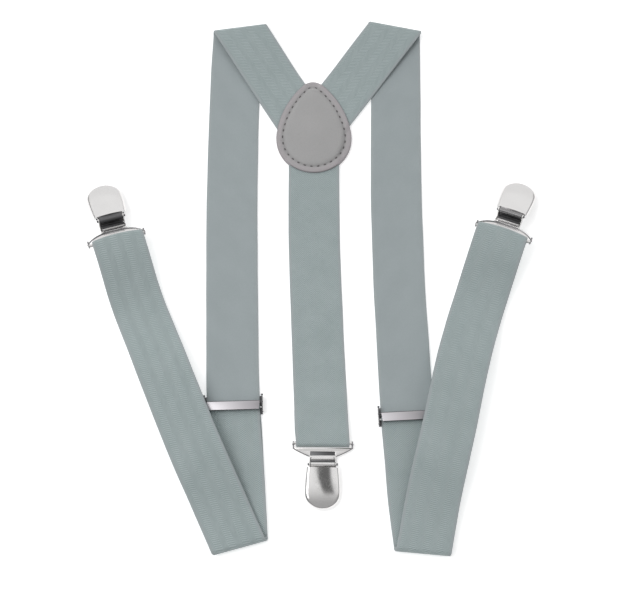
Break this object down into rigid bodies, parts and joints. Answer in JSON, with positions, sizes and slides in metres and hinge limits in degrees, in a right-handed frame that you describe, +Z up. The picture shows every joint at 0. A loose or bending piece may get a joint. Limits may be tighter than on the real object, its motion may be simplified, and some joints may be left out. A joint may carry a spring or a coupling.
{
  "type": "suspenders",
  "caption": "Y-back suspenders in woven webbing: two shoulder straps and a back strap sewn into a leather yoke, with slide adjusters and hinged lever clips that grip a waistband",
  "frame": {"origin": "middle of the laid-out object at table height", "axes": "+X to the right of the layout, +Y from the centre clip toward the shoulder folds, +Z up off the table"},
  "size_m": [0.3018, 0.3768, 0.0162],
  "materials": {
    "webbing": "matte herringbone weave",
    "leather": "smooth satin",
    "thread": "matte",
    "nickel": "polished",
    "satin_steel": "brushed",
    "jaw_pad": "matte"
  },
  "bodies": {
    "center_clip": {"center_clip_back_pad": "jaw_pad", "center_clip_frame": "nickel", "center_clip_jaw_pin": "nickel", "center_clip_lever_pin": "nickel"},
    "center_jaw": {"center_clip_front_pad": "jaw_pad", "center_clip_jaw": "nickel"},
    "center_lever": {"center_clip_lever": "nickel"},
    "webbing_harness": {"center_clip_loop": "webbing", "center_clip_tab": "webbing", "center_run_lower": "webbing", "center_run_upper": "webbing", "left_back_run": "webbing", "left_chest_lower": "webbing", "left_chest_upper": "webbing", "left_clip_loop": "webbing", "left_front_high": "webbing", "left_front_low": "webbing", "left_hem_fold": "webbing", "left_return_fold": "webbing", "left_return_front": "webbing", "left_return_run": "webbing", "left_shoulder_fold": "webbing", "right_back_run": "webbing", "right_chest_lower": "webbing", "right_chest_upper": "webbing", "right_clip_loop": "webbing", "right_front_high": "webbing", "right_front_low": "webbing", "right_hem_fold": "webbing", "right_return_fold": "webbing", "right_return_front": "webbing", "right_return_run": "webbing", "right_shoulder_fold": "webbing", "yoke_back_leather": "leather", "yoke_front_leather": "leather", "yoke_seam_thread": "thread"},
    "left_adjuster": {"left_adjuster_anchor_bar": "nickel", "left_adjuster_frame": "satin_steel", "left_adjuster_lock_pin": "nickel", "left_return_tab": "webbing"},
    "left_lock": {"left_adjuster_lock_bar": "satin_steel"},
    "left_clip": {"left_clip_back_pad": "jaw_pad", "left_clip_frame": "nickel", "left_clip_jaw_pin": "nickel", "left_clip_lever_pin": "nickel"},
    "left_jaw": {"left_clip_front_pad": "jaw_pad", "left_clip_jaw": "nickel"},
    "left_lever": {"left_clip_lever": "nickel"},
    "right_adjuster": {"right_adjuster_anchor_bar": "nickel", "right_adjuster_frame": "satin_steel", "right_adjuster_lock_pin": "nickel", "right_return_tab": "webbing"},
    "right_lock": {"right_adjuster_lock_bar": "satin_steel"},
    "right_clip": {"right_clip_back_pad": "jaw_pad", "right_clip_frame": "nickel", "right_clip_jaw_pin": "nickel", "right_clip_lever_pin": "nickel"},
    "right_jaw": {"right_clip_front_pad": "jaw_pad", "right_clip_jaw": "nickel"},
    "right_lever": {"right_clip_lever": "nickel"}
  },
  "joints": [
    {"name": "left_clip_swing", "type": "hinge", "parent": "webbing_harness", "child": "left_clip", "pos_m": [-0.13005, 0.02091, 0.01233], "axis": [0.9528, 0.2919, -0.0833], "range_deg": [0, 110]},
    {"name": "left_lever_hinge", "type": "hinge", "parent": "left_clip", "child": "left_lever", "pos_m": [-0.13452, 0.03569, 0.01303], "axis": [0.9528, 0.2919, -0.0833], "range_deg": [0, 110]},
    {"name": "left_jaw_hinge", "type": "hinge", "parent": "left_clip", "child": "left_jaw", "pos_m": [-0.13587, 0.03896, 0.00903], "axis": [0.9528, 0.2919, -0.0833], "range_deg": [0, 22]},
    {"name": "right_clip_swing", "type": "hinge", "parent": "webbing_harness", "child": "right_clip", "pos_m": [0.12768, 0.02522, 0.01233], "axis": [0.927, -0.3658, 0.0833], "range_deg": [0, 110]},
    {"name": "right_lever_hinge", "type": "hinge", "parent": "right_clip", "child": "right_lever", "pos_m": [0.1333, 0.0396, 0.01303], "axis": [0.927, -0.3658, 0.0833], "range_deg": [0, 110]},
    {"name": "right_jaw_hinge", "type": "hinge", "parent": "right_clip", "child": "right_jaw", "pos_m": [0.1349, 0.04276, 0.00903], "axis": [0.927, -0.3658, 0.0833], "range_deg": [0, 22]},
    {"name": "center_clip_swing", "type": "hinge", "parent": "webbing_harness", "child": "center_clip", "pos_m": [0.00709, -0.1155, 0.00273], "axis": [-1, 0.007, 0], "range_deg": [0, 85]},
    {"name": "center_lever_hinge", "type": "hinge", "parent": "center_clip", "child": "center_lever", "pos_m": [0.00698, -0.13031, 0.00716], "axis": [-1, 0.007, 0], "range_deg": [0, 110]},
    {"name": "center_jaw_hinge", "type": "hinge", "parent": "center_clip", "child": "center_jaw", "pos_m": [0.00695, -0.1347, 0.00413], "axis": [-1, 0.007, 0], "range_deg": [0, 22]},
    {"name": "left_adjuster_slide", "type": "slide", "parent": "webbing_harness", "child": "left_adjuster", "axis": [-0.0297, 0.9996, 0], "range_m": [0, 0.06]},
    {"name": "left_lock_hinge", "type": "hinge", "parent": "left_adjuster", "child": "left_lock", "pos_m": [-0.051, -0.08896, 0.00505], "axis": [-0.9996, -0.0297, 0], "range_deg": [0, 75]},
    {"name": "right_adjuster_slide", "type": "slide", "parent": "webbing_harness", "child": "right_adjuster", "axis": [-0.0515, 0.9987, 0], "range_m": [0, 0.06]},
    {"name": "right_lock_hinge", "type": "hinge", "parent": "right_adjuster", "child": "right_lock", "pos_m": [0.06207, -0.09576, 0.00505], "axis": [-0.9987, -0.0515, 0], "range_deg": [0, 75]}
  ],
  "couplings": [
    {"joint": "left_jaw_hinge", "follows": "left_lever_hinge", "ratio": 0.2},
    {"joint": "right_jaw_hinge", "follows": "right_lever_hinge", "ratio": 0.2},
    {"joint": "center_jaw_hinge", "follows": "center_lever_hinge", "ratio": 0.2}
  ]
}
